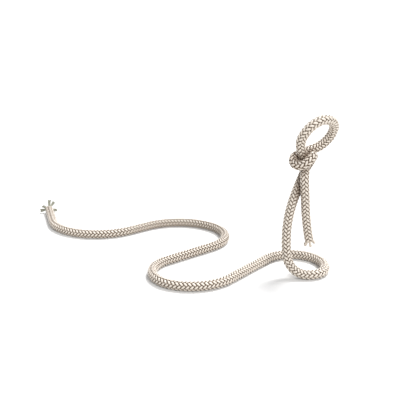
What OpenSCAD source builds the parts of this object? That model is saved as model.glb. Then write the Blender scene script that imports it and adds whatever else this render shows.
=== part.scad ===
// Table-top neck carrier: one braided rope that seems to stand by itself. A bent steel rod inside
// the braid holds every curve. The rope snakes over the table, climbs as a riser, takes one turn
// round its own end as a knot, and closes above it as a collar for a neck.
// Frame: +Z is up, the table is z = 0, +X is the way a held neck points. The origin is on the table
// under the point where the riser leaves it.

/* [Rope] */
// Diameter of the braid where the rod runs loosely inside it
rope_d = 11.5; // [10.5:0.5:12.5]
// Diameter of the braid where the knot pulls it tight
tight_d = 9.6; // [9:0.1:10.4]
// Diameter of the tail, which has a soft core instead of the rod
tail_d = 9.6; // [9:0.1:10]
// Depth of the flat that the rope's own weight gives its underside
flat_depth = 0.5; // [0.3:0.1:0.8]

/* [Rod] */
// Diameter of the bent steel rod
rod_d = 5; // [4:0.5:5.5]
// Gap all round between the rod and the braid
rod_gap = 0.2; // [0.1:0.05:0.4]
// Length of the cap over each end of the rod
cap_len = 9; // [6:1:14]
// Wall of the cap
cap_wall = 0.8; // [0.5:0.1:1]
// Thickness of the cap's closed end
cap_end = 1.2; // [0.8:0.1:2]
// Play of the cap on the rod, all round
cap_fit = 0.05; // [0.02:0.01:0.1]

/* [Bends on the table, from the riser to the far end] */
// Direction in which the rope leaves the foot of the riser
foot_heading = 43.5; // [35:0.5:50]
// Radius at the front of the loop under the knot
loop_front_r = 20; // [18:1:24]
// Angle of that bend
loop_front_turn = 65; // [60:1:70]
// Radius round the back of the loop
loop_back_r = 37; // [34:1:40]
// Angle of that bend
loop_back_turn = 170; // [165:1:175]
// Straight from the loop to the first bay
loop_exit_run = 77; // [70:1:90]
// Radius into the first bay
bay_in_r = 54; // [50:1:60]
// Angle of that bend
bay_in_turn = 67; // [60:1:72]
// Radius out of the first bay
bay_out_r = 44; // [40:1:50]
// Angle of that bend
bay_out_turn = 125; // [118:1:130]
// Straight between the two bays
bay_run = 72; // [64:1:90]
// Radius into the second bay
bend_in_r = 50; // [46:1:56]
// Angle of that bend
bend_in_turn = 90; // [84:1:96]
// Radius out of the second bay
bend_out_r = 66; // [60:1:72]
// Angle of that bend
bend_out_turn = 88; // [80:1:94]
// Straight before the last bend
last_run = 28; // [20:1:40]
// Radius of the last bend
last_r = 69; // [60:1:76]
// Angle of the last bend
last_turn = 113; // [100:1:118]
// Straight at the far end
end_run = 50; // [42:1:70]
// Length of hollow braid past the rod's far end
end_spare = 8; // [5:1:12]

/* [Riser] */
// Radius in which the rope leaves the table
lift_r = 24; // [20:1:24]
// How far behind the foot the riser turns upwards
lift_reach = 23.5; // [23.5:0.5:26]
// Radius of the riser's long curve
belly_r = 147; // [120:1:160]
// Where the riser's long curve would have its corner: along X
belly_x = -35; // [-37:0.5:-33]
// The same corner along Y
belly_y = -3; // [-5:0.5:-1]
// The same corner's height
belly_z = 62; // [57:1:66]
// Centre of the knot along X
knot_x = -29.5; // [-32:0.5:-27]
// Centre of the knot along Y
knot_y = 23.5; // [22:0.5:25]
// Height of the knot's centre
knot_z = 126.5; // [122:0.5:131]

/* [Knot and collar] */
// Least clearance between the rope's turn and the leg that it goes round
knot_clear = 0.9; // [0.7:0.1:1.2]
// Bore of the collar that goes over the neck
collar_bore = 32.5; // [30:0.5:34]
// How far the rope tapers where the knot starts to pull it tight
taper_len = 14; // [10:1:18]

/* [Frayed ends] */
// Strand bundles that stick out of a cut end
tuft_count = 12; // [6:1:12]
// Thickness of a bundle at its root
tuft_d = 1.5; // [1:0.1:1.6]
// Length of the tuft at the far end on the table
end_tuft_len = 10; // [6:1:14]
// Length of the tuft at the end of the tail
tail_tuft_len = 6; // [4:1:10]
// Height of the glued ring that the bundles grow from
tuft_ring = 2; // [1:0.5:3]

/* [Hidden] */

BRAID = "ivory";
STEEL = "silver";
CAP = "dimgray";

// Facets: sides of the braid and of the rod, widest step round a bend, longest step along a run
braid_sides = 14;
rod_sides = 8;
tail_sides = 10;
facet_angle = 15;
ring_step = 10;
run_step = 15;
tiny = 0.01;

rest_height = rope_d / 2 - flat_depth;
rod_bore = rod_d + 2 * rod_gap;
cap_inner = rod_d + 2 * cap_fit;
cap_d = cap_inner + 2 * cap_wall;
cap_bore = cap_d + 2 * rod_gap;
core_d = cap_bore - 2 * rod_gap;

// The knot is drawn in shares of knot_unit, the spacing of two tight strands that lie side by side
knot_unit = tight_d + knot_clear;
turn_r = 0.97 * knot_unit;
collar_r = (collar_bore + rope_d) / 2;
riser_top_r = 1.3 * knot_unit;
leg_bend_r = 3 * knot_unit;

// How far the tuft's bundles lean out, the least lean of those next to the table, and their tips
tuft_lean = 24;
floor_lean = -0.1;
tip_share = 0.5;

// Corners of the rope's way round the knot, from the riser's top to where it rises to the collar
turn_shares = [[-0.7, 0.9, -0.9], [0.4, 1.05, 0.9], [1.05, -0.2, 1], [0.5, -1.5, -0.35],
    [-1.35, -0.8, 0.6]];
// The collar's lowest point, the corner of its front leg, and where the leg's rod ends
collar_foot_share = [-0.5, 1.55, 1.3];
leg_corner_share = [-0.25, -0.85, 2.55];
leg_end_share = [0.1, -0.1, -0.8];

// Route of the free tail below the knot
tail_route = [[-26, 19.5, 108], [-23.5, 18.5, 88], [-22.5, 20, 66], [-21, 22.5, 46],
    [-19.5, 24.5, 34.5]];

function unit(v) = v / norm(v);
function turned(v, axis, a) = v * cos(a) + cross(axis, v) * sin(a) + axis * (axis * v) * (1 - cos(a));
function between(a, b) = acos(min(1, max(-1, unit(a) * unit(b))));
function reversed(v) = [for (i = [len(v) - 1:-1:0]) v[i]];
function joined(groups) = [for (g = groups) each g];
function sum(v, n, i = 0) = i >= n ? 0 : v[i] + sum(v, n, i + 1);

// Points after the first one, along an arc and along a straight
function arc_points(p, centre, axis, a) =
    let (arc = a * PI / 180 * norm(p - centre), n = max(2, ceil(max(a / facet_angle, arc / ring_step))))
    [for (i = [1:n]) centre + turned(p - centre, axis, a * i / n)];
function run_points(p, q) = norm(q - p) < tiny ? [] :
    let (n = ceil(norm(q - p) / run_step)) [for (i = [1:n]) p + (q - p) * i / n];

// A path through corners, each rounded with its own radius: straight, bend, straight, bend, ...
function rounded_path(corners, radii) =
    let (n = len(corners) - 1,
        way = [for (i = [0:n - 1]) unit(corners[i + 1] - corners[i])],
        turn = [for (i = [0:n]) i == 0 || i == n ? 0 : between(way[i - 1], way[i])],
        cut = [for (i = [0:n]) radii[i] * tan(turn[i] / 2)])
    [for (i = [0:n - 1])
        let (a = corners[i] + way[i] * cut[i], b = corners[i + 1] - way[i] * cut[i + 1],
            axis = i + 1 == n ? [0, 0, 1] : unit(cross(way[i], way[i + 1])))
        each [run_points(a, b), i + 1 == n ? [] :
            arc_points(b, b + cross(axis, way[i]) * radii[i + 1], axis, turn[i + 1])]];

// The bends that lie on the table: side of the bend, radius, angle and the straight after it
table_bends = [
    [1, loop_front_r, loop_front_turn, 0], [1, loop_back_r, loop_back_turn, loop_exit_run],
    [-1, bay_in_r, bay_in_turn, 0], [-1, bay_out_r, bay_out_turn, bay_run],
    [1, bend_in_r, bend_in_turn, 0], [1, bend_out_r, bend_out_turn, last_run],
    [-1, last_r, last_turn, end_run]];

function ahead(h) = [cos(h), sin(h), 0];
function table_path(p, heading, i = 0) = i == len(table_bends) ? [[p + ahead(heading) * end_spare]] :
    let (b = table_bends[i], to_centre = b[0] * [-sin(heading), cos(heading), 0] * b[1],
        centre = p + to_centre, next = heading + b[0] * b[2],
        bend_end = centre + turned(-to_centre, [0, 0, b[0]], b[2]),
        end = bend_end + ahead(next) * b[3])
    concat([concat(arc_points(p, centre, [0, 0, b[0]], b[2]), run_points(bend_end, end))],
        table_path(end, next, i + 1));

// The collar is a circle in the plane of its own foot, the turn's last corner and the leg's corner
foot = [0, 0, rest_height];
knot = [knot_x, knot_y, knot_z];
function in_knot(share) = knot + share * knot_unit;
turn_corners = [for (s = turn_shares) in_knot(s)];
collar_in = turn_corners[len(turn_corners) - 1];
leg_corner = in_knot(leg_corner_share);
leg_end = in_knot(leg_end_share);
collar_foot = in_knot(collar_foot_share);
collar_axis = unit(cross(collar_in - collar_foot, leg_corner - collar_foot));
collar_up = unit([0, 0, 1] - collar_axis[2] * collar_axis);
collar_centre = collar_foot + collar_up * collar_r;
// Where a line from p touches the collar's circle on its far side, 1, or its near side, -1
function touch(p, side) =
    let (out = p - collar_centre, a = acos(collar_r / norm(out)),
        hit = [for (s = [1, -1]) collar_centre + turned(unit(out), collar_axis, s * a) * collar_r])
    side * (hit[0][1] - hit[1][1]) > 0 ? hit[0] : hit[1];
touch_in = touch(collar_in, 1);
touch_out = touch(leg_corner, -1);
over_axis = unit(cross(touch_in - collar_centre, touch_in - collar_in));
over_turn = 360 - between(touch_in - collar_centre, touch_out - collar_centre);

climb = rounded_path(
    concat([foot, foot - lift_reach * ahead(foot_heading), [belly_x, belly_y, belly_z]], turn_corners,
        [touch_in]),
    concat([0, lift_r, belly_r, riser_top_r], [for (i = [1:len(turn_corners) - 1]) turn_r], [0]));
over = arc_points(touch_in, collar_centre, over_axis, over_turn);
leg = rounded_path([touch_out, leg_corner, knot, leg_end], [0, collar_r, leg_bend_r, 0]);

// One chain of stations for the whole rope, from the tail's end to the far end on the table
riser_groups = [for (i = [0:4]) climb[i]];
turn_groups = [for (i = [5:len(climb) - 3]) climb[i]];
table = table_path(foot, foot_heading);
upright = concat(joined(climb), over, joined(leg));
route = concat(reversed(tail_route), reversed(upright), [foot], joined(table));
leg_end_at = len(tail_route);
rod_at = leg_end_at + len(leg[4]) + len(leg[3]);
leg_top_at = rod_at + len(leg[2]);
foot_at = leg_end_at + len(upright);
riser_top_at = foot_at - len(joined(riser_groups));
turn_end_at = riser_top_at - len(joined(turn_groups));
last_at = len(route) - 1;
rod_far_at = last_at - 1;
table_at = [for (n = [0:len(table)]) foot_at + sum([for (g = table) len(g)], n)];
way = [for (i = [0:last_at]) unit(route[min(i + 1, last_at)] - route[max(i - 1, 0)])];
// Sections keep their up side as they follow the bends away from the foot
function square_to(v, i) = unit(v - (v * way[i]) * way[i]);
up_side = [for (i = foot_at, v = [0, 0, 1]; i >= 0; i = i - 1, v = i < 0 ? v : square_to(v, i)) v];
up = [for (i = [0:last_at]) i < foot_at ? up_side[foot_at - i] : [0, 0, 1]];
mile = [for (i = 0, s = 0; i <= last_at; i = i + 1, s = i > last_at ? s : s + norm(route[i] - route[i - 1])) s];

// Outside and bore of the braid at a station
function braid_d(i) = i <= leg_end_at ? lookup(i, [[leg_end_at - 1, tail_d], [leg_end_at, tight_d]]) :
    lookup(mile[i], [
        [mile[leg_top_at] - taper_len, tight_d], [mile[leg_top_at], rope_d],
        [mile[turn_end_at] - taper_len, rope_d], [mile[turn_end_at], tight_d],
        [mile[riser_top_at], tight_d], [mile[riser_top_at] + taper_len, rope_d]]);
function bore_d(i) = let (past = cap_len + run_step)
    mile[i] < mile[rod_at] + past || mile[i] > mile[rod_far_at] - past ? cap_bore : rod_bore;

// The rope's least gap to any other stretch of itself, measured on points
gap_steps = 3;
gap_skip = 2.5 * rope_d;
fine = [for (i = [0:last_at - 1]) for (k = [0:gap_steps - 1])
    let (w = k / gap_steps) [route[i] * (1 - w) + route[i + 1] * w,
        mile[i] * (1 - w) + mile[i + 1] * w, (braid_d(i) * (1 - w) + braid_d(i + 1) * w) / 2]];
least_gap = min([for (i = [0:len(fine) - 1]) for (j = [i + 1:1:len(fine) - 1])
    if (fine[j][1] - fine[i][1] > gap_skip) norm(fine[j][0] - fine[i][0]) - fine[i][2] - fine[j][2]]);
echo(least_gap = least_gap);

// A tube along the stations from one to another, flat where it would sink into the table
module tube(from, to, outside, bore, sides) {
    n = to - from;
    function ring(i, d) = [for (k = [0:sides - 1])
        let (a = 360 * (k + 0.5) / sides,
            p = route[i] + d / 2 * (cos(a) * up[i] + sin(a) * cross(way[i], up[i])))
        [p[0], p[1], max(p[2], 0)]];
    function at(j, k) = j * sides + k % sides;
    inner = (n + 1) * sides;
    skin = [for (j = [0:n - 1]) for (k = [0:sides - 1])
        each [[at(j, k), at(j + 1, k), at(j + 1, k + 1)], [at(j, k), at(j + 1, k + 1), at(j, k + 1)]]];
    lips = [for (k = [0:sides - 1]) each [
        [at(0, k), at(0, k + 1), inner + at(0, k + 1)], [at(0, k), inner + at(0, k + 1), inner + at(0, k)],
        [at(n, k + 1), at(n, k), inner + at(n, k)], [at(n, k + 1), inner + at(n, k), inner + at(n, k + 1)]]];
    discs = [[for (k = [0:sides - 1]) at(0, k)], [for (k = [sides - 1:-1:0]) at(n, k)]];
    polyhedron(
        concat([for (i = [from:to]) each ring(i, outside[i - from])],
            bore == undef ? [] : [for (i = [from:to]) each ring(i, bore[i - from])]),
        bore == undef ? concat(skin, discs) :
            concat(skin, lips, [for (f = skin) [inner + f[2], inner + f[1], inner + f[0]]]));
}

module braid(from, to, sides = braid_sides) color(BRAID)
    tube(from, to, [for (i = [from:to]) braid_d(i)], [for (i = [from:to]) bore_d(i)], sides);
module solid(from, to, d, sides) tube(from, to, [for (i = [from:to]) d], undef, sides);

// Stands what follows on a station with its Z along the rope, away from the station before it
module placed(i, before) {
    z = unit(route[i] - route[before]);
    x = unit(up[i] - (up[i] * z) * z);
    y = cross(z, x);
    p = route[i];
    multmatrix([[x[0], y[0], z[0], p[0]], [x[1], y[1], z[1], p[1]], [x[2], y[2], z[2], p[2]], [0, 0, 0, 1]])
        children();
}

module rod_cap() color(CAP) translate([0, 0, -cap_len]) difference() {
    cylinder(h = cap_len + cap_end, d = cap_d);
    translate([0, 0, -cap_end]) cylinder(h = cap_len + cap_end, d = cap_inner);
}

// Loose ends of the braid: a glued ring with bundles that fan out, kept above the table
module tuft(root_d, length, floor_z) color(BRAID) {
    cylinder(h = tuft_ring, d = root_d);
    for (k = [0:tuft_count - 1]) {
        a = 360 * k / tuft_count;
        lean = k % 2 == 0 ? tuft_lean : tuft_lean / 2;
        reach = (root_d - tuft_d) / 2;
        rise = max(cos(a), floor_z / reach);
        translate([reach * rise, reach * sin(a), tuft_ring - tiny])
            rotate([-lean * sin(a), lean * max(cos(a), floor_lean), 0])
                cylinder(h = length - tuft_ring, d1 = tuft_d, d2 = tuft_d * tip_share);
    }
}

module core_rod() color(STEEL) solid(rod_at, rod_far_at, rod_d, rod_sides);
module base_rod_cap() placed(rod_far_at, rod_far_at - 1) rod_cap();
module collar_rod_cap() placed(rod_at, rod_at + 1) rod_cap();
module tail_core() color(BRAID) solid(0, rod_at - 1, core_d, tail_sides);
module loop_sleeve() braid(table_at[0], table_at[2]);
module bay_sleeve() braid(table_at[2], table_at[4]);
module bend_sleeve() braid(table_at[4], table_at[6]);
module end_sleeve() braid(table_at[6], last_at);
module riser_sleeve() braid(riser_top_at, foot_at);
module knot_sleeve() braid(turn_end_at, riser_top_at);
module collar_sleeve() braid(leg_end_at, turn_end_at);
module tail_sleeve() braid(0, leg_end_at, tail_sides);
module end_tuft() placed(last_at, last_at - 1)
    tuft(rope_d - 2 * flat_depth, end_tuft_len, -rest_height / 2);
module tail_tuft() placed(0, 1) tuft(tail_d, tail_tuft_len, -rope_d);

core_rod();
base_rod_cap();
collar_rod_cap();
tail_core();
loop_sleeve();
bay_sleeve();
bend_sleeve();
end_sleeve();
riser_sleeve();
knot_sleeve();
collar_sleeve();
tail_sleeve();
end_tuft();
tail_tuft();
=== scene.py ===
import math
import bpy
import numpy as np
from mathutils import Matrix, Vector


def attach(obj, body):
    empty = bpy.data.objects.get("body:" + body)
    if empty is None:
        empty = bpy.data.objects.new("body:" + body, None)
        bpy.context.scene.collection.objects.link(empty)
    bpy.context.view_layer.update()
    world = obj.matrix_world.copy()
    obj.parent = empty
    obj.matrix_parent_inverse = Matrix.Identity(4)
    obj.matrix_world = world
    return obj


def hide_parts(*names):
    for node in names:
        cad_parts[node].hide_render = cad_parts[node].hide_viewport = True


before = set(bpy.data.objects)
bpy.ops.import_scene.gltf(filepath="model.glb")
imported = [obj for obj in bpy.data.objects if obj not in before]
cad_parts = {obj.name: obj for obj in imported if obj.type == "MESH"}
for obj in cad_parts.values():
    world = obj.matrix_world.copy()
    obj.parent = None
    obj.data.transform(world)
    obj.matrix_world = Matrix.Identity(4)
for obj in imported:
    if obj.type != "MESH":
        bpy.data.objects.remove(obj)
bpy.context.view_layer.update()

# The camera stands in front of the holder and to its right, a little above the table, with a long
# lens. Its frame is square, and the lens is given in pixels of that frame.
FRAME_PX = 420
LENS_PX = 800
SENSOR_WIDTH = 36
NEAREST_SEEN = 0.01
CAMERA_AT = (0.5278, -0.6756, 0.36125)
CAMERA_HEADING = (-0.714, 0.700)
CAMERA_PITCH = math.radians(18.1)

camera_data = bpy.data.cameras.new("camera")
camera_data.sensor_width = SENSOR_WIDTH
camera_data.lens = SENSOR_WIDTH * LENS_PX / FRAME_PX
camera_data.clip_start = NEAREST_SEEN
camera = bpy.data.objects.new("camera", camera_data)
camera.location = CAMERA_AT
camera.rotation_mode = "QUATERNION"
camera.rotation_quaternion = Vector((
    CAMERA_HEADING[0] * math.cos(CAMERA_PITCH),
    CAMERA_HEADING[1] * math.cos(CAMERA_PITCH),
    -math.sin(CAMERA_PITCH))).to_track_quat("-Z", "Y")
bpy.context.scene.collection.objects.link(camera)
bpy.context.scene.camera = camera
bpy.context.scene.view_settings.view_transform = "Standard"

# The line of the rope, in one length: a flat run of bends for the base, one lift, the turn of the
# knot, the collar, the leg back down through the turn, and the tail. A steel rod is bent to it first,
# on the bench, and the braid is pulled over the rod. The line is that of the solids.
ROPE_D = 0.0115
FLAT_DEPTH = 0.0005
REST_HEIGHT = ROPE_D / 2 - FLAT_DEPTH
FOOT_HEADING = math.radians(43.5)
TABLE_BENDS = (  # side, radius, degrees, and the straight after the bend
    (1, 0.020, 65, 0), (1, 0.037, 170, 0.077), (-1, 0.054, 67, 0), (-1, 0.044, 125, 0.072),
    (1, 0.050, 90, 0), (1, 0.066, 88, 0.028), (-1, 0.069, 113, 0.058))
LIFT_R = 0.024
LIFT_REACH = 0.0235
BELLY_R = 0.147
BELLY = (-0.035, -0.003, 0.062)
KNOT = np.array((-0.0295, 0.0235, 0.1265))
KNOT_UNIT = 0.0105  # the spacing of two tight strands
TURN_R = 0.97 * KNOT_UNIT
RISER_TOP_R = 1.3 * KNOT_UNIT
LEG_BEND_R = 3 * KNOT_UNIT
TURN_SHARES = (
    (-0.7, 0.9, -0.9), (0.4, 1.05, 0.9), (1.05, -0.2, 1), (0.5, -1.5, -0.35), (-1.35, -0.8, 0.6))
COLLAR_R = 0.022
COLLAR_FOOT_SHARE = (-0.5, 1.55, 1.3)
LEG_CORNER_SHARE = (-0.25, -0.85, 2.55)
LEG_END_SHARE = (0.1, -0.1, -0.8)
TAIL_ROUTE = np.array((
    (-0.0260, 0.0195, 0.1080), (-0.0235, 0.0185, 0.0880), (-0.0225, 0.0200, 0.0660),
    (-0.0210, 0.0225, 0.0460), (-0.0195, 0.0245, 0.0345)))
STATION_STEP = 0.0009
LEAST_RUN = 0.000001  # a shorter straight is left out


def unit(v):
    return v / np.linalg.norm(v)


def turned(v, axis, angle):
    """A vector turned round an axis."""
    along = axis * (axis @ v)
    return v * math.cos(angle) + np.cross(axis, v) * math.sin(angle) + along * (1 - math.cos(angle))


def arc(start, centre, axis, angle):
    """Points after the first one, round a bend."""
    count = max(2, math.ceil(angle * np.linalg.norm(start - centre) / STATION_STEP))
    return [centre + turned(start - centre, axis, angle * i / count) for i in range(1, count + 1)]


def run(start, end):
    """Points after the first one, along a straight."""
    length = np.linalg.norm(end - start)
    count = math.ceil(length / STATION_STEP)
    return [start + (end - start) * i / count for i in range(1, count + 1)] if length > LEAST_RUN else []


def rounded(corners, radii):
    """Straight, bend, straight, bend and so on, through corners that are rounded."""
    corners = [np.array(c, float) for c in corners]
    ways = [unit(b - a) for a, b in zip(corners, corners[1:])]
    turns = [0] + [math.acos(np.clip(a @ b, -1, 1)) for a, b in zip(ways, ways[1:])] + [0]
    cuts = [r * math.tan(t / 2) for r, t in zip(radii, turns)]
    stretches = []
    for i, way in enumerate(ways):
        end = corners[i + 1] - way * cuts[i + 1]
        stretches.append(run(corners[i] + way * cuts[i], end))
        if i + 1 < len(ways):
            axis = unit(np.cross(way, ways[i + 1]))
            stretches.append(arc(end, end + np.cross(axis, way) * radii[i + 1], axis, turns[i + 1]))
    return stretches


def smooth(points, way_in):
    """Points after the first one, on a cubic line through all points that starts along way_in."""
    points = [np.array(p, float) for p in points]
    slopes = [way_in * np.linalg.norm(points[1] - points[0])]
    slopes += [(c - a) / 2 for a, c in zip(points, points[2:])] + [points[-1] - points[-2]]
    line = []
    for p, q, m, n in zip(points, points[1:], slopes, slopes[1:]):
        count = math.ceil(np.linalg.norm(q - p) / STATION_STEP)
        for i in range(1, count + 1):
            t = i / count
            line.append((2 * t**3 - 3 * t**2 + 1) * p + (t**3 - 2 * t**2 + t) * m
                        + (3 * t**2 - 2 * t**3) * q + (t**3 - t**2) * n)
    return line


def in_knot(share):
    return KNOT + np.array(share) * KNOT_UNIT


def ahead(heading):
    return np.array((math.cos(heading), math.sin(heading), 0))


foot = np.array((0, 0, REST_HEIGHT))
turn_corners = [in_knot(s) for s in TURN_SHARES]
leg_corner = in_knot(LEG_CORNER_SHARE)
leg_end = in_knot(LEG_END_SHARE)
collar_foot = in_knot(COLLAR_FOOT_SHARE)
collar_axis = unit(np.cross(turn_corners[-1] - collar_foot, leg_corner - collar_foot))
collar_up = unit(np.array((0, 0, 1)) - collar_axis[2] * collar_axis)
collar_centre = collar_foot + collar_up * COLLAR_R


def touch(point, side):
    """Where a line from point touches the collar's circle on its far side, 1, or its near side, -1."""
    out = point - collar_centre
    angle = math.acos(COLLAR_R / np.linalg.norm(out))
    hits = [collar_centre + turned(unit(out), collar_axis, s * angle) * COLLAR_R for s in (1, -1)]
    return max(hits, key=lambda p: side * p[1])


touch_in = touch(turn_corners[-1], 1)
touch_out = touch(leg_corner, -1)
collar_way = unit(np.cross(touch_in - collar_centre, touch_in - turn_corners[-1]))
collar_turn = 2 * math.pi - math.acos(unit(touch_in - collar_centre) @ unit(touch_out - collar_centre))
climb = rounded(
    [foot, foot - LIFT_REACH * ahead(FOOT_HEADING), BELLY, *turn_corners, touch_in],
    [0, LIFT_R, BELLY_R, RISER_TOP_R] + [TURN_R] * (len(turn_corners) - 1) + [0])
collar = arc(touch_in, collar_centre, collar_way, collar_turn)
leg = rounded([touch_out, leg_corner, KNOT, leg_end], [0, COLLAR_R, LEG_BEND_R, 0])
upright = [p for stretch in climb for p in stretch] + collar + [p for stretch in leg for p in stretch]
tail_line = smooth([leg_end, *TAIL_ROUTE], unit(leg_end - upright[-2]))

table, place, heading = [], foot, FOOT_HEADING
bend_ends = []  # where each bend of the table and its straight end, counted from the foot
for side, radius, degrees, straight in TABLE_BENDS:
    sideways = side * np.array((-math.sin(heading), math.cos(heading), 0)) * radius
    bend = arc(place, place + sideways, np.array((0, 0, side)), math.radians(degrees))
    heading += side * math.radians(degrees)
    table += bend + run(bend[-1], bend[-1] + ahead(heading) * straight)
    bend_ends.append(len(table))
    place = table[-1]

# The stations run from the tail's cut end up through the knot, round the collar, down the riser and
# along the table to the far end. The mile of a station is its distance from the tail's end.
RISER_STRETCHES = 5  # how many stretches of the climb lie below the knot
COLLAR_STRETCHES = 2  # how many stretches of the leg lie above the knot
route = np.array(tail_line[::-1] + upright[::-1] + [foot] + table)
mile = np.concatenate(([0], np.cumsum(np.linalg.norm(np.diff(route, axis=0), axis=1))))
leg_end_at = len(tail_line)
leg_top_at = leg_end_at + sum(len(stretch) for stretch in leg[COLLAR_STRETCHES:])
foot_at = leg_end_at + len(upright)
riser_top_at = foot_at - sum(len(stretch) for stretch in climb[:RISER_STRETCHES])
turn_end_at = riser_top_at - sum(len(stretch) for stretch in climb[RISER_STRETCHES:-1])


def mile_at(station):
    return float(mile[station])


# How wide the soft braid lies along the line: pulled tight in the knot, open over the lobe that closes
# it, round the collar and on the upper riser, and slim in the tail. All of these are fuller than the
# solids, whose width the rope on the table keeps.
TIGHT_D = 0.0113
TAIL_D = 0.0112
LOBE_D = 0.0121
COLLAR_D = 0.0121
RISER_D = 0.0122
LOBE_LEN = 0.020
TAPER_LEN = 0.014
RISER_TAPER_LEN = 0.05
WIDTHS_ALONG = (  # mile and width
    (mile[leg_end_at - 1], TAIL_D), (mile[leg_end_at], TIGHT_D),
    (mile[leg_top_at] - TAPER_LEN, TIGHT_D), (mile[leg_top_at], COLLAR_D),
    (mile[turn_end_at] - TAPER_LEN, COLLAR_D), (mile[turn_end_at], LOBE_D),
    (mile[turn_end_at] + LOBE_LEN, LOBE_D), (mile[turn_end_at] + LOBE_LEN + TAPER_LEN, TIGHT_D),
    (mile[riser_top_at], TIGHT_D), (mile[riser_top_at] + TAPER_LEN, RISER_D),
    (mile[foot_at] - RISER_TAPER_LEN, ROPE_D), (mile[foot_at], ROPE_D))
widths = np.interp(mile, *zip(*WIDTHS_ALONG))

route_curve = bpy.data.curves.new("rope_route", "CURVE")
route_curve.dimensions = "3D"
spline = route_curve.splines.new("POLY")
spline.points.add(len(route) - 1)
spline.points.foreach_set("co", np.column_stack((route, np.ones(len(route)))).astype("f").ravel())
spline.points.foreach_set("radius", (widths / 2).astype("f"))
route_line = bpy.data.objects.new("rope_route", route_curve)
bpy.context.scene.collection.objects.link(route_line)

# The rod: one round bar of plain steel, bent cold to the line. It carries the standing rope, from the
# far end on the table to the collar's leg. The braid hides it, and it stays as the solid has it.
STEEL_DARK = (0.50, 0.50, 0.51, 1)
STEEL_BRIGHT = (0.68, 0.68, 0.69, 1)
STEEL_ROUGHNESS = (0.25, 0.45)
STEEL_SCRATCHES = {"Scale": 700.0, "Detail": 4.0}


class Wire:
    """An output of a node, with the operators of plain sums. Vectors go through Vector Math."""

    def __init__(self, board, socket):
        self.board, self.socket = board, socket

    def outlet(self, name):
        """Another output of the same node."""
        return Wire(self.board, next(s for s in self.socket.node.outputs if s.name == name))

    def joined(self, operation, *others):
        """Math on the wire and any others, or Vector Math where one of them is a vector."""
        kinds = {w.socket.type for w in (self, *others) if isinstance(w, Wire)}
        node = "ShaderNodeVectorMath" if "VECTOR" in kinds else "ShaderNodeMath"
        return self.board.add(node, {"operation": operation}, self, *others)

    def ranged(self, low, high):
        """A value from 0 to 1 made one from low to high."""
        return self * (high - low) + low

    def __add__(self, other):
        return self.joined("ADD", other)

    __radd__ = __add__

    def __sub__(self, other):
        return self.joined("SUBTRACT", other)

    def __rsub__(self, other):
        return self.board.add("ShaderNodeMath", {"operation": "SUBTRACT"}, other, self)

    def __mul__(self, other):
        return self.joined("MULTIPLY", other)

    __rmul__ = __mul__

    def __truediv__(self, other):
        return self.joined("DIVIDE", other)

    def __rtruediv__(self, other):
        return self.board.add("ShaderNodeMath", {"operation": "DIVIDE"}, other, self)


class Board:
    """One node tree, and the one way in which a node is put into it."""

    def __init__(self, tree):
        self.tree = tree

    def add(self, kind, settings=None, *values, **named):
        """A node with its settings, and values or wires for its sockets, in order or by name with _ for
        a space. A list feeds each of its wires to the one socket. Gives the node's first output."""
        node = self.tree.nodes.new(kind)
        for name, value in (settings or {}).items():
            setattr(node, name, value)
        sockets = [s for s in node.inputs if s.enabled]
        fed = list(zip(sockets, values))
        fed += [(next(s for s in sockets if s.name == name.replace("_", " ")), value)
                for name, value in named.items()]
        for socket, value in fed:
            for wire in value if isinstance(value, list) else [value]:
                if isinstance(wire, Wire):
                    self.tree.links.new(wire.socket, socket)
                else:
                    socket.default_value = wire
        outputs = [s for s in node.outputs if s.enabled]
        return Wire(self, outputs[0]) if outputs else None


def new_finish(name):
    """A new material, and the board of its nodes."""
    material = bpy.data.materials.new(name)
    material.use_nodes = True
    material.node_tree.nodes.clear()
    return material, Board(material.node_tree)


def surface(board, **looks):
    """The surface of a finish: one shader, with its sockets given by name."""
    board.add("ShaderNodeOutputMaterial", {}, board.add("ShaderNodeBsdfPrincipled", {}, **looks))


def shade_mix(amount, low, high):
    """A colour from low, where amount is 0, to high, where it is 1."""
    return amount.board.add("ShaderNodeMix", {"data_type": "RGBA"}, amount, low, high)


def grain_of(board, grain):
    """Fine noise that stays in its place on the piece."""
    place = board.add("ShaderNodeTexCoord").outlet("Object")
    return board.add("ShaderNodeTexNoise", {}, place, **grain)


def dress(node, finish):
    """Gives its finish to a solid that keeps its own shape."""
    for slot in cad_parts[node].material_slots:
        slot.material = finish


steel, board = new_finish("bent_rod_steel")
scratches = grain_of(board, STEEL_SCRATCHES)
surface(board, Base_Color=shade_mix(scratches, STEEL_DARK, STEEL_BRIGHT),
        Roughness=scratches.ranged(*STEEL_ROUGHNESS), Metallic=1.0)
dress("core_rod", steel)

# The rod's caps: dipped black vinyl, pushed over both cut ends so that the steel doesn't cut through
# the braid. They stay as the solids have them.
VINYL_DARK = (0.05, 0.05, 0.05, 1)
VINYL_WORN = (0.09, 0.09, 0.09, 1)
VINYL_ROUGHNESS = (0.45, 0.60)
VINYL_CLOUD = {"Scale": 400.0, "Detail": 2.0}

vinyl, board = new_finish("cap_vinyl")
cloud = grain_of(board, VINYL_CLOUD)
surface(board, Base_Color=shade_mix(cloud, VINYL_DARK, VINYL_WORN),
        Roughness=cloud.ranged(*VINYL_ROUGHNESS))
dress("base_rod_cap", vinyl)
dress("collar_rod_cap", vinyl)

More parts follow.
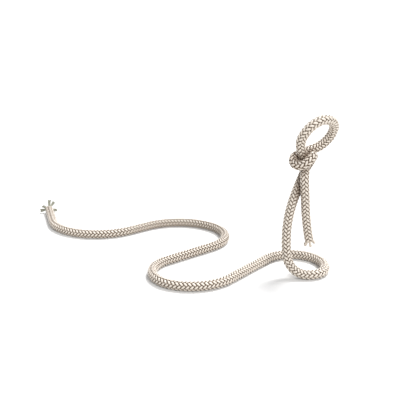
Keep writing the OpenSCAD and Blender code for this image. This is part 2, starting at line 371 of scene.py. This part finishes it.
# The braid: sixteen bundles of glossy nylon yarn, eight each way, each over two and under two. It is
# pulled over the rod as a sleeve, so the bundles lie in long rows of slanted grains along the rope.
CARRIERS = 8  # bundles that wind one way
HANDS = 2  # ways that they wind
BRAID_PITCH = 0.036
BRAID_TURN = 1.25 * math.pi  # turns the rows of grains round the rope
STRAND_THICK = 0.00165
WEAVE_DEPTH = 0.00080
STRAND_COVER = 0.89  # share of the way round that the bundles of one hand fill
STRAND_SIDES = 10
STRAND_STEP = 0.00078
CREASE_SOFTNESS = 0.45  # how gently a bundle dives; at 0 it would drop in a step
GRAIN_WAIST = 0.38  # share of its width that a bundle keeps where it dives
FILLING_SIDES = 20
FILLING_SINK_SHARE = 0.3  # how far below the middle of the bundles, of the weave's depth
TABLE_GAP = 0.00001  # least height of the braid over the table


def new_tree(name, inputs):
    """A Geometry Nodes tree with named inputs, its board, and the wires of the inputs."""
    tree = bpy.data.node_groups.new(name, "GeometryNodeTree")
    tree.interface.new_socket("Geometry", in_out="OUTPUT", socket_type="NodeSocketGeometry")
    for kind, labels in inputs.items():
        for label in labels:
            tree.interface.new_socket(label, in_out="INPUT", socket_type="NodeSocket" + kind)
    board = Board(tree)
    given = board.add("NodeGroupInput").socket.node
    return tree, board, {s.name: Wire(board, s) for s in given.outputs if s.name}


def made(tree, name, values):
    """Runs a tree with its inputs, and gives the result as a plain piece."""
    blank = bpy.data.meshes.new(name)
    piece = bpy.data.objects.new(name, blank)
    bpy.context.scene.collection.objects.link(piece)
    modifier = piece.modifiers.new("make", "NODES")
    modifier.node_group = tree
    identifiers = {s.name: s.identifier for s in tree.interface.items_tree
                   if s.item_type == "SOCKET" and s.in_out == "INPUT"}
    for label, value in values.items():
        modifier[identifiers[label]] = value
    bpy.context.view_layer.update()
    depsgraph = bpy.context.evaluated_depsgraph_get()
    mesh = bpy.data.meshes.new_from_object(
        piece.evaluated_get(depsgraph), preserve_all_data_layers=True, depsgraph=depsgraph)
    piece.modifiers.clear()
    piece.data = mesh
    bpy.data.meshes.remove(blank)
    mesh.name = name
    return piece


braid_tree, braider, size = new_tree("braid_over_route", {
    "Object": ("Route",), "Int": ("Carriers",), "Material": ("Strand Finish", "Filling Finish"),
    "Float": ("Start", "End", "Origin", "Pitch", "Thickness", "Depth", "Full Radius", "Step", "Cover")})
line = braider.add("GeometryNodeObjectInfo", {"transform_space": "ORIGINAL"}, size["Route"])
line = line.outlet("Geometry")


def sampled(along, **value):
    """The line at a mile: a value there, or else its place and ways by outlet."""
    by_length = {"mode": "LENGTH", "data_type": "FLOAT", "use_all_curves": True}
    return braider.add("GeometryNodeSampleCurve", by_length, line, Length=along, **value)


def straight_tube(sides):
    """A tube of radius 1 along X, from Start to End: a bundle before it is wound on."""
    start = braider.add("ShaderNodeCombineXYZ", {}, size["Start"])
    end = braider.add("ShaderNodeCombineXYZ", {}, size["End"])
    count = ((size["End"] - size["Start"]) / size["Step"]).joined("CEIL") + 1.0
    path = braider.add("GeometryNodeCurvePrimitiveLine", {}, start, end)
    path = braider.add("GeometryNodeResampleCurve", {"mode": "COUNT"}, path, Count=count)
    ring = braider.add("GeometryNodeCurvePrimitiveCircle", {}, sides, 1.0)
    return braider.add("GeometryNodeCurveToMesh", {}, path, ring, Fill_Caps=True)


def wound(mesh, along, angle, reach):
    """Winds a straight tube's points onto the line: a mile, an angle round it and a distance from it."""
    there = sampled(along)
    way, side = there.outlet("Tangent"), there.outlet("Normal")
    out = side.joined("SCALE", angle.joined("COSINE") * reach)
    out = out + way.joined("CROSS_PRODUCT", side).joined("SCALE", angle.joined("SINE") * reach)
    x = braider.add("ShaderNodeSeparateXYZ", {}, there.outlet("Position") + out)
    height = x.outlet("Z").joined("MAXIMUM", TABLE_GAP)
    place = braider.add("ShaderNodeCombineXYZ", {}, x, x.outlet("Y"), height)
    return braider.add("GeometryNodeSetPosition", {}, mesh, Position=place)


def kept(mesh, name, value, domain="POINT"):
    """Keeps a value on the mesh under a name, for a later step or for its finish."""
    settings = {"data_type": "FLOAT", "domain": domain}
    return mesh.board.add("GeometryNodeStoreNamedAttribute", settings, mesh, Name=name, Value=value)


def numbered_copies(board, count, shape):
    """Real copies of a shape, all in one place, and the wire of their numbers."""
    points = board.add("GeometryNodeMeshLine", {"mode": "OFFSET"}, count, Offset=(0, 0, 0))
    copies = board.add("GeometryNodeInstanceOnPoints", {}, points, Instance=shape)
    copies = kept(copies, "carrier", board.add("GeometryNodeInputIndex"), "INSTANCE")
    copies = board.add("GeometryNodeRealizeInstances", {}, copies)
    return copies, board.add("GeometryNodeInputNamedAttribute", {"data_type": "FLOAT"}, "carrier")


at = braider.add("ShaderNodeSeparateXYZ", {}, braider.add("GeometryNodeInputPosition"))
across, lift = at.outlet("Y"), at.outlet("Z")
radius = sampled(at, Value=braider.add("GeometryNodeInputRadius"))
squeeze = radius / size["Full Radius"]
middle_r = radius - (size["Depth"] + size["Thickness"] * 0.5) * squeeze
slope = middle_r * (2 * math.pi) / size["Pitch"]
cosine = 1.0 / (slope * slope + 1.0).joined("SQRT")
sine = slope * cosine

strands, carrier = numbered_copies(braider, size["Carriers"] * HANDS, straight_tube(STRAND_SIDES))
second = carrier.joined("GREATER_THAN", size["Carriers"] - 0.5)
hand = 1.0 - second * 2.0
phase = (carrier - second * size["Carriers"]) * (2 * math.pi) / size["Carriers"]
centre = hand * (at - size["Origin"]) * (2 * math.pi) / size["Pitch"] + phase
wave = (centre * (size["Carriers"] * 0.5) + BRAID_TURN).joined("SINE")
over = hand * wave / (wave * wave + CREASE_SOFTNESS).joined("SQRT") * math.sqrt(1 + CREASE_SOFTNESS)
belly = over.joined("MAXIMUM", 0.0).ranged(GRAIN_WAIST, 1)
half = middle_r * math.pi / size["Carriers"] * cosine * size["Cover"] * belly
aside = across * half
for name, value in (("across", across), ("over", over), ("along", at / cosine), ("mile", at)):
    strands = kept(strands, name, value)
strands = wound(
    strands, at - hand * aside * sine, centre + aside * cosine / middle_r,
    middle_r + (over * size["Depth"] + lift * size["Thickness"] * 0.5) * squeeze)
strands = braider.add("GeometryNodeSetMaterial", {}, strands, Material=size["Strand Finish"])

core = wound(straight_tube(FILLING_SIDES), at, across.joined("ARCTAN2", lift),
             middle_r - size["Depth"] * FILLING_SINK_SHARE)
core = braider.add("GeometryNodeSetMaterial", {}, core, Material=size["Filling Finish"])
whole = braider.add("GeometryNodeJoinGeometry", {}, [strands, core])
whole = braider.add("GeometryNodeSetShadeSmooth", {}, whole)
whole = braider.add("GeometryNodeRealizeInstances", {}, whole)
braider.add("NodeGroupOutput", {}, whole)

# The yarn of the braid: glossy nylon, warm white. Brown painted shade darkens a bundle where it dives
# into the weave and towards its edges. Each bundle is a row of fine twisted yarns side by side, which
# show as lines along it, with painted shade in the grooves between them.
YARN_LIGHT = (0.98, 0.90, 0.80, 1)
YARN_SHADE = (0.26, 0.182, 0.12, 1)
YARN_ROUGHNESS = (0.19, 0.41)
YARN_LINES = 9.0  # fine yarns side by side in a bundle
YARN_TWIST = 520.0  # the slant of their lines, in radians a metre
LINE_SHADE = 0.09
LINE_HEIGHT = 0.5  # beside fuzz, which is 1
DIVE = (-0.1, 0.9)  # from shade to light, where a bundle is at -1 in the weave's depth and at 1 on top
EDGE = (0.05, 0.75)  # the same, where a bundle's edge is at 0 and its middle at 1
EDGE_LIGHT = 0.2
# Noise for the patches of light and dark along the bundles, and for the fuzz of the fine fibres
PATCHES = {"stretch": (60.0, 2.5, 3.7), "Scale": 2.2, "Detail": 3.0}
PATCH_LIGHT = (0.75, 1.25)
FUZZ = {"stretch": (900.0, 14.0, 5.1), "Scale": 1.0, "Detail": 2.0}
CONTACT_SHADE_STRENGTH = 0.95


def attribute(board, name):
    return board.add("ShaderNodeAttribute", {"attribute_name": name}).outlet("Fac")


def eased(mask, start, end, low=0.0):
    """Rises gently from low, at start, to 1, at end."""
    gently = {"interpolation_type": "SMOOTHSTEP"}
    return mask.board.add("ShaderNodeMapRange", gently, mask, start, end, low, 1.0)


def yarn_noise(lay, stretch, **grain):
    """Noise drawn out along the bundle, across it and from bundle to bundle."""
    place = lay[0].board.add("ShaderNodeCombineXYZ", {}, *(mask * by for mask, by in zip(lay, stretch)))
    return place.board.add("ShaderNodeTexNoise", {}, place, **grain)


nylon, board = new_finish("braided_nylon")
along_mask, across_mask = attribute(board, "along"), attribute(board, "across")
lay = (along_mask, across_mask, attribute(board, "carrier"))
# painted shade where a bundle dives into the weave and towards its edges
dive_shade = eased(attribute(board, "over"), *DIVE)
edge_shade = eased(1.0 - across_mask * across_mask, *EDGE, EDGE_LIGHT)
patches = yarn_noise(lay, **PATCHES).ranged(*PATCH_LIGHT)
fuzz = yarn_noise(lay, **FUZZ)
lines = (across_mask * (YARN_LINES * math.pi) + along_mask * YARN_TWIST).joined("SINE")
# the fine lines add painted shade in the grooves between yarns; the patches are random tone
light = (dive_shade * edge_shade * patches).joined("MINIMUM", 1.0) * (lines * LINE_SHADE + (1 - LINE_SHADE))
# the painted shade, made deeper or lighter along the rope
light = (1.0 - (1.0 - light) * attribute(board, "slack")).joined("MAXIMUM", 0.0)
# painted shade where another stretch of rope lies near
light = light * (1.0 - attribute(board, "pressed") * CONTACT_SHADE_STRENGTH)
relief = lines * LINE_HEIGHT + fuzz
relief = board.add("ShaderNodeBump", {}, Height=relief, Strength=0.4, Distance=0.00015)
surface(board, Base_Color=shade_mix(light, YARN_SHADE, YARN_LIGHT),
        Roughness=fuzz.ranged(*YARN_ROUGHNESS), Normal=relief,
        Coat_Weight=0.6, Coat_Roughness=0.2, Sheen_Weight=0.15, Sheen_Roughness=0.4)

# The filling inside the braid: soft dull yarn, laid in straight. Its dark brown is painted shade, with
# a grain of noise. It shows only as the dark lines at the corners of the weave, where the bundles part.
PAINTED_SHADE_FILLING_DARK = (0.12, 0.085, 0.055, 1)
PAINTED_SHADE_FILLING_LIGHT = (0.24, 0.175, 0.125, 1)
FILLING_GRAIN = {"Scale": 900.0, "Detail": 2.0}

painted_shade_filling, board = new_finish("filling_dark_painted_shade")
grain = grain_of(board, FILLING_GRAIN)
surface(board, Base_Color=shade_mix(grain, PAINTED_SHADE_FILLING_DARK, PAINTED_SHADE_FILLING_LIGHT), Roughness=0.7,
        Normal=board.add("ShaderNodeBump", {}, Height=grain, Strength=0.4, Distance=0.0002))

# Painted shade on the braid. Where another stretch of rope lies near, as in the knot, the yarn between
# them is painted in shade. Along the line, the painted shade of the weave is made deeper or lighter,
# stretch by stretch: lightest round the collar, deeper over the knot and the far bends, deepest at the
# cut far end.
CONTACT_SHADE_REACH = 0.0095  # yarn farther than this from the other stretch gets no painted shade
CONTACT_SHADE_APART = 0.022  # stretches nearer than this along the line count as one
CONTACT_SHADE_STATIONS = slice(0, foot_at, 3)  # every third one, from the tail's end to the foot
END_LEN = 0.08
PAINTED_SHADE_ALONG = (  # mile, and the depth of the painted shade
    (mile[0], 0.8), (mile[leg_end_at], 0.85), ((mile[leg_top_at] + mile[turn_end_at]) / 2, 0.6),
    (mile[turn_end_at], 1.4), (mile[riser_top_at], 0.85), (mile[foot_at], 0.82),
    (mile[foot_at + bend_ends[1]], 0.95), (mile[foot_at + bend_ends[3]], 1.35),
    (mile[foot_at + bend_ends[4]], 1.6), (mile[-1] - END_LEN, 1.0), (mile[-1], 2.2))


def keep_painted_shade(mesh):
    """Keeps on each point the painted shade from near stretches, and how deep the painted shade is
    there.
    """
    count = len(mesh.vertices)
    place, own_mile = np.empty(3 * count), np.empty(count)
    mesh.vertices.foreach_get("co", place)
    mesh.attributes["mile"].data.foreach_get("value", own_mile)
    place = place.reshape(-1, 3)
    gap = np.full(count, CONTACT_SHADE_REACH)
    others = zip(route[CONTACT_SHADE_STATIONS], mile[CONTACT_SHADE_STATIONS], widths[CONTACT_SHADE_STATIONS])
    for other, other_mile, width in others:
        reach = np.linalg.norm(place - other, axis=1) - width / 2
        gap = np.where(abs(own_mile - other_mile) > CONTACT_SHADE_APART, np.minimum(gap, reach), gap)
    share = 1 - np.clip(gap / CONTACT_SHADE_REACH, 0, 1)
    for name, values in (("pressed", share * share * (3 - 2 * share)),
                         ("slack", np.interp(own_mile, *zip(*PAINTED_SHADE_ALONG)))):
        mesh.attributes.new(name, "FLOAT", "POINT").data.foreach_set("value", values)


def braid(name, node, start, end, pitch=BRAID_PITCH):
    """One stretch of the braid, from one mile of the line to another."""
    piece = made(braid_tree, name, {
        "Route": route_line, "Start": start, "End": end, "Origin": mile_at(leg_end_at), "Pitch": pitch,
        "Thickness": STRAND_THICK, "Depth": WEAVE_DEPTH, "Full Radius": ROPE_D / 2,
        "Step": STRAND_STEP, "Cover": STRAND_COVER, "Carriers": CARRIERS,
        "Strand Finish": nylon, "Filling Finish": painted_shade_filling})
    keep_painted_shade(piece.data)
    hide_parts(node)
    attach(piece, "root")
    return piece


# The rope on the table: the loop under the knot, two bays and the last bend. It is one braid, drawn
# over the rod, and is cut here into the stretches that the solids have.
foot_mile = mile_at(foot_at)
loop_mile, bay_mile, bend_mile = (mile_at(foot_at + bend_ends[i]) for i in (1, 3, 5))
braid("loop_braid", "loop_sleeve", foot_mile, loop_mile)
braid("bay_braid", "bay_sleeve", loop_mile, bay_mile)
braid("bend_braid", "bend_sleeve", bay_mile, bend_mile)
braid("end_braid", "end_sleeve", bend_mile, mile_at(-1))

# The rope that stands: the riser, the turn that is pulled tight round the leg, and the collar, whose
# leg comes down through the turn. It is the same braid over the same rod.
braid("riser_braid", "riser_sleeve", mile_at(riser_top_at), foot_mile)
braid("knot_braid", "knot_sleeve", mile_at(turn_end_at), mile_at(riser_top_at))
braid("collar_braid", "collar_sleeve", mile_at(leg_end_at), mile_at(turn_end_at))

# The frayed far end: past the cut, the bundles come loose from the braid and fan out in tufts of fine
# yarn. Out on the table their nylon is painted grey, as shade on tufts that are lit from behind.
YARN_POINTS = 7
YARN_SIDES = 5
YARN_RADIUS = 0.000242
TUFT_SWING = (-0.2, 0.2)  # radians, drawn for each tuft
TUFT_LEAN = (0.75, 1.15)  # share of the lean, drawn for each tuft
TUFT_LENGTH = (0.65, 1.0)  # share of the length, drawn for each tuft
YARN_LENGTH = (0.7, 1.0)  # the same, drawn for each yarn
YARN_SPREAD = (0.1, 1.0)  # share of the tuft's radius, drawn for each yarn
YARN_CURL = (-0.14, 0.14)  # share of the length, drawn for each yarn
YARN_BRIGHTNESS = (0.15, 0.8)  # drawn for each yarn; the lower it is, the deeper the yarn's painted shade
YARN_BOW = (0.4, 1.0)  # share of the lean, from root to tip
YARN_CLOSING = (1.0, 0.5)  # share of the spread, from root to tip
GRAIN_REACH = 0.01  # how far along the pattern of the finish a loose yarn gets, for its rise
# depth of the painted shade on loose yarn
LOOSE_PAINTED_SHADE_DEPTH = 1.0
FRAY_SET_BACK = 0.002
FRAY_LOWEST = 0.0002
LOOSE_PAINTED_SHADE_LIGHT = (0.58, 0.58, 0.48, 1)
LOOSE_PAINTED_SHADE_DARK = (0.19, 0.19, 0.145, 1)
LOOSE_ROUGHNESS = 0.45

# the grey of the loose yarn, light and dark, is painted shade
loose, board = new_finish("loose_yarn_painted_shade")
surface(board, Base_Color=shade_mix(attribute(board, "over"), LOOSE_PAINTED_SHADE_DARK, LOOSE_PAINTED_SHADE_LIGHT),
        Roughness=LOOSE_ROUGHNESS)

fray_tree, fan, fan_size = new_tree("fray", {
    "Float": ("Length", "Root Radius", "Tuft Radius", "Turn", "Lean", "Yarn Radius"),
    "Int": ("Tufts", "Yarns", "Seed"), "Material": ("Finish",)})


def chance(limits, number, draw):
    """A random value within limits for each number. Each use has a draw of its own."""
    seed = fan_size["Seed"] + draw
    return fan.add("FunctionNodeRandomValue", {"data_type": "FLOAT"}, *limits, number, seed)


strung = fan.add("GeometryNodeCurvePrimitiveLine", {}, (0, 0, 0), (0, 0, 1))
strung = fan.add("GeometryNodeResampleCurve", {"mode": "COUNT"}, strung, Count=YARN_POINTS)
yarns, number = numbered_copies(fan, fan_size["Tufts"] * fan_size["Yarns"], strung)
tuft = (number / fan_size["Yarns"]).joined("FLOOR")
up_yarn = fan.add("ShaderNodeSeparateXYZ", {}, fan.add("GeometryNodeInputPosition")).outlet("Z")
tuft_way = fan_size["Turn"] + tuft * (2 * math.pi) / fan_size["Tufts"] + chance(TUFT_SWING, tuft, 0.0)
lean = fan_size["Lean"] * chance(TUFT_LEAN, tuft, 3.0)
long = fan_size["Length"] * chance(TUFT_LENGTH, tuft, 5.0) * chance(YARN_LENGTH, number, 7.0)
bow = lean * up_yarn.ranged(*YARN_BOW)
reach = fan_size["Root Radius"] + up_yarn * long * bow.joined("SINE")
spot = chance((0.0, 2 * math.pi), number, 9.0)
spread = fan_size["Tuft Radius"] * chance(YARN_SPREAD, number, 11.0) * up_yarn.ranged(*YARN_CLOSING)
curl = up_yarn * up_yarn * fan_size["Length"] * chance(YARN_CURL, number, 13.0)
outward = reach + spread * spot.joined("SINE")
aside = spread * spot.joined("COSINE") + curl
yarn_x = tuft_way.joined("COSINE") * outward - tuft_way.joined("SINE") * aside
yarn_y = tuft_way.joined("SINE") * outward + tuft_way.joined("COSINE") * aside
yarn_place = fan.add("ShaderNodeCombineXYZ", {}, yarn_x, yarn_y, up_yarn * long * bow.joined("COSINE"))
yarns = fan.add("GeometryNodeSetPosition", {}, yarns, Position=yarn_place)
rise = fan.add("ShaderNodeSeparateXYZ", {}, fan.add("GeometryNodeInputPosition")).outlet("Z")
yarns = kept(yarns, "along", rise * GRAIN_REACH)
yarns = kept(yarns, "over", chance(YARN_BRIGHTNESS, number, 15.0))
yarns = kept(yarns, "slack", LOOSE_PAINTED_SHADE_DEPTH)
ring = fan.add("GeometryNodeCurvePrimitiveCircle", {}, YARN_SIDES, 1.0)
yarns = fan.add("GeometryNodeCurveToMesh", {}, yarns, ring, fan_size["Yarn Radius"], True)
yarns = fan.add("GeometryNodeRealizeInstances", {}, yarns)
yarns = fan.add("GeometryNodeSetMaterial", {}, yarns, Material=fan_size["Finish"])
fan.add("NodeGroupOutput", {}, yarns)


def fray(name, node, end, way, values):
    """A fan of loose yarn at a cut end, turned along the rope and kept above the table."""
    piece = made(fray_tree, name, {"Yarn Radius": YARN_RADIUS, **values})
    turn = Vector(way).to_track_quat("Z", "Y").to_matrix()
    root = Vector(end - way * FRAY_SET_BACK)
    for point in piece.data.vertices:
        place = turn @ point.co + root
        place.z = max(place.z, FRAY_LOWEST)
        point.co = place
    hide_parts(node)
    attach(piece, "root")
    return piece


fray("end_fray", "end_tuft", route[-1], unit(route[-1] - route[-2]), {
    "Length": 0.0130, "Root Radius": 0.0032, "Tuft Radius": 0.0020, "Turn": -0.26, "Lean": 1.05,
    "Finish": loose, "Tufts": 7, "Yarns": 60, "Seed": 4})

# The tail: the same braid without the rod, over soft white filling. It hangs free from the knot in
# front of the riser, and its cut end has frayed into short tufts of the same nylon, with painted shade
# drawn for each yarn.
TAIL_PITCH = 0.0373
FIBRE_SHADE = (0.62, 0.58, 0.52, 1)
FIBRE_LIGHT = (0.88, 0.86, 0.82, 1)
FIBRE_GRAIN = {"Scale": 1500.0, "Detail": 3.0}

fibre, board = new_finish("tail_filling")
grain = grain_of(board, FIBRE_GRAIN)
surface(board, Base_Color=shade_mix(grain, FIBRE_SHADE, FIBRE_LIGHT), Roughness=0.65,
        Normal=board.add("ShaderNodeBump", {}, Height=grain, Strength=0.5, Distance=0.0003))
dress("tail_core", fibre)

tail_length = mile_at(leg_end_at)
tail = braid("tail_braid", "tail_sleeve", 0.0, tail_length, TAIL_PITCH)
tail_fray = fray("tail_fray", "tail_tuft", route[0], unit(route[0] - route[1]), {
    "Length": 0.0080, "Root Radius": 0.0034, "Tuft Radius": 0.0021, "Turn": 0.0, "Lean": 0.6,
    "Finish": nylon, "Tufts": 6, "Yarns": 60, "Seed": 11})

# The line was only a guide for the braid, so it goes.
bpy.data.objects.remove(route_line)

# The studio: a pale paper floor that keeps the object's shadow, a white surround, and two soft suns.
# As the camera sees them, one is high behind the object and the other lower in front of it, and both
# are to the right.
FLOOR_SIZE = 40.0
FLOOR_DROP = 0.0002  # so that floor and rope don't share a plane
PAPER_WHITE = (0.95, 0.95, 0.95, 1)
PAPER_BOUNCE = (0.55, 0.53, 0.50, 1)
WHITE = (1, 1, 1, 1)
WORLD_LIGHT = 0.5
SUNS = (  # name, way to it, strength, degrees across
    ("soft_sun_above", (-0.10, 0.62, 1.0), 2.7, 20), ("soft_sun_front", (0.93, -0.35, 0.6), 1.5, 30))


def seen(board):
    """1 where the camera or a gloss looks at it, and 0 where it only lights other things."""
    path = board.add("ShaderNodeLightPath")
    return path.joined("MAXIMUM", path.outlet("Is Glossy Ray"))


floor_mesh = bpy.data.meshes.new("studio_floor")
corner = FLOOR_SIZE / 2
floor_mesh.from_pydata(
    [(-corner, -corner, 0), (corner, -corner, 0), (corner, corner, 0), (-corner, corner, 0)],
    [], [(0, 1, 2, 3)])
floor = bpy.data.objects.new("studio_floor", floor_mesh)
floor.location = (0, 0, -FLOOR_DROP)
bpy.context.scene.collection.objects.link(floor)
paper, board = new_finish("studio_paper")
surface(board, Base_Color=shade_mix(seen(board), PAPER_BOUNCE, PAPER_WHITE), Roughness=0.9,
        Specular_IOR_Level=0.1)
floor_mesh.materials.append(paper)

world = bpy.data.worlds.new("studio_white")
bpy.context.scene.world = world
world.use_nodes = True
world.node_tree.nodes.clear()
sky = Board(world.node_tree)
sky.add("ShaderNodeOutputWorld", {}, sky.add(
    "ShaderNodeBackground", {}, WHITE, seen(sky).ranged(WORLD_LIGHT, 1)))

for name, way, strength, degrees in SUNS:
    sun = bpy.data.lights.new(name, "SUN")
    sun.energy = strength
    sun.angle = math.radians(degrees)
    sun_object = bpy.data.objects.new(name, sun)
    sun_object.rotation_mode = "QUATERNION"
    sun_object.rotation_quaternion = (-Vector(way)).to_track_quat("-Z", "Y")
    bpy.context.scene.collection.objects.link(sun_object)
